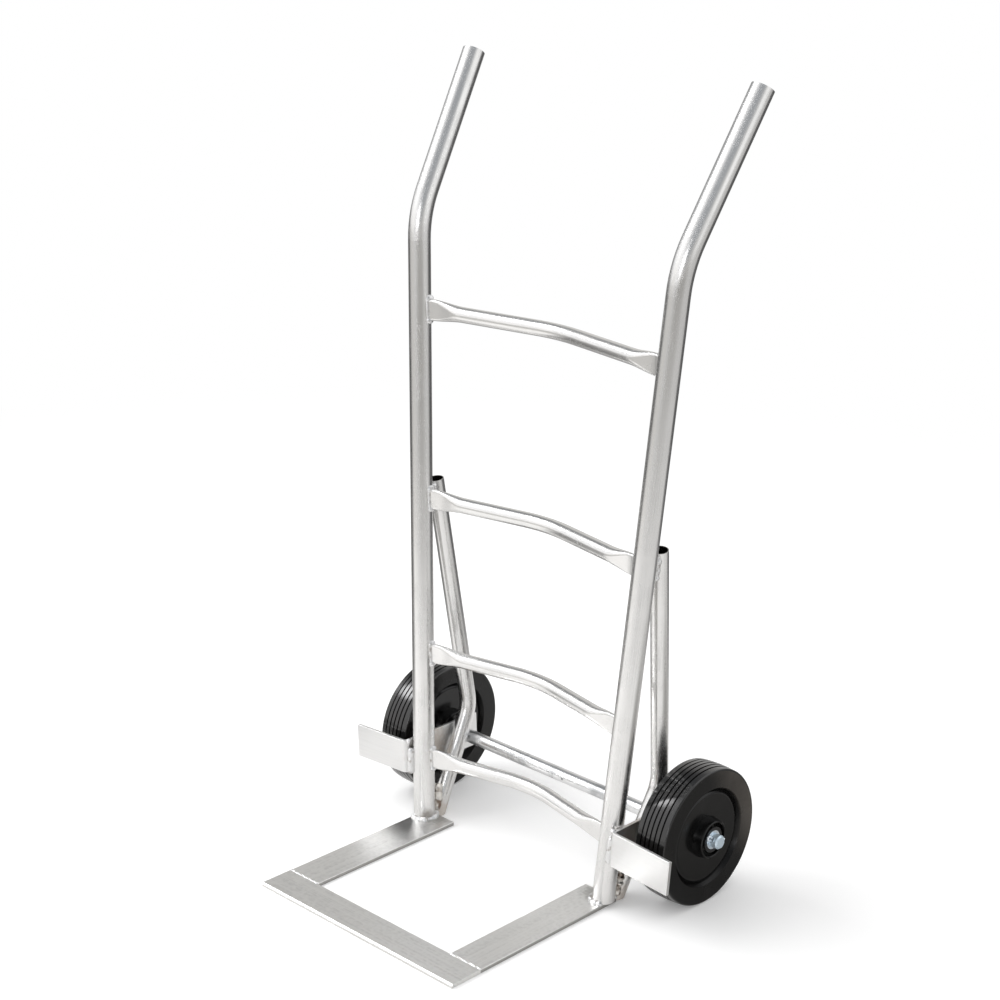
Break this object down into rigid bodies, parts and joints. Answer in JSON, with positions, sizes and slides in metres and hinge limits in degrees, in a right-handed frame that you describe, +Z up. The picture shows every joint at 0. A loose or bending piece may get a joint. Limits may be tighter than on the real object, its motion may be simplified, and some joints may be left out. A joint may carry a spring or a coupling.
{
  "type": "sack truck",
  "caption": "Tubular aluminium sack truck with flared handles, set-back rungs, an open flat-bar toe, rear braces and solid rubber wheels on a fixed axle.",
  "frame": {"origin": "middle of the truck's box on the floor it stands on", "axes": "+X to the right seen from the front, +Y back from the toe to the wheels, +Z up"},
  "size_m": [0.61, 0.509, 1.121],
  "materials": {
    "stile_tube": "drawn tube, satin bright",
    "rung_tube": "drawn tube, satin bright",
    "brace_tube": "drawn tube, satin bright",
    "flat_bar": "mill-finished flat bar, lightly brushed",
    "zinc_steel": "bright zinc plate",
    "spacer": "dull zinc plate",
    "tyre_rubber": "satin black solid rubber",
    "wheel_plastic": "satin black moulding",
    "bush_plastic": "black nylon"
  },
  "bodies": {
    "frame": {"axle": "zinc_steel", "bottom_rung": "rung_tube", "lower_rung": "rung_tube", "upper_rung": "rung_tube", "top_rung": "rung_tube", "toe_front_bar": "flat_bar", "left_stile": "stile_tube", "right_stile": "stile_tube", "left_brace": "brace_tube", "right_brace": "brace_tube", "left_axle_bracket": "flat_bar", "right_axle_bracket": "flat_bar", "left_toe_bar": "flat_bar", "right_toe_bar": "flat_bar", "left_spacer": "spacer", "right_spacer": "spacer", "left_washer": "bush_plastic", "right_washer": "bush_plastic", "left_split_pin": "zinc_steel", "right_split_pin": "zinc_steel"},
    "left_wheel": {"left_tyre": "tyre_rubber", "left_wheel_centre": "wheel_plastic", "left_hub_bush": "bush_plastic"},
    "right_wheel": {"right_tyre": "tyre_rubber", "right_wheel_centre": "wheel_plastic", "right_hub_bush": "bush_plastic"}
  },
  "joints": [
    {"name": "left_wheel_spin", "type": "hinge", "parent": "frame", "child": "left_wheel", "pos_m": [-0.25102, 0.1545, 0.1], "axis": [1, 0, 0], "continuous": true},
    {"name": "right_wheel_spin", "type": "hinge", "parent": "frame", "child": "right_wheel", "pos_m": [0.25102, 0.1545, 0.1], "axis": [1, 0, 0], "continuous": true}
  ]
}
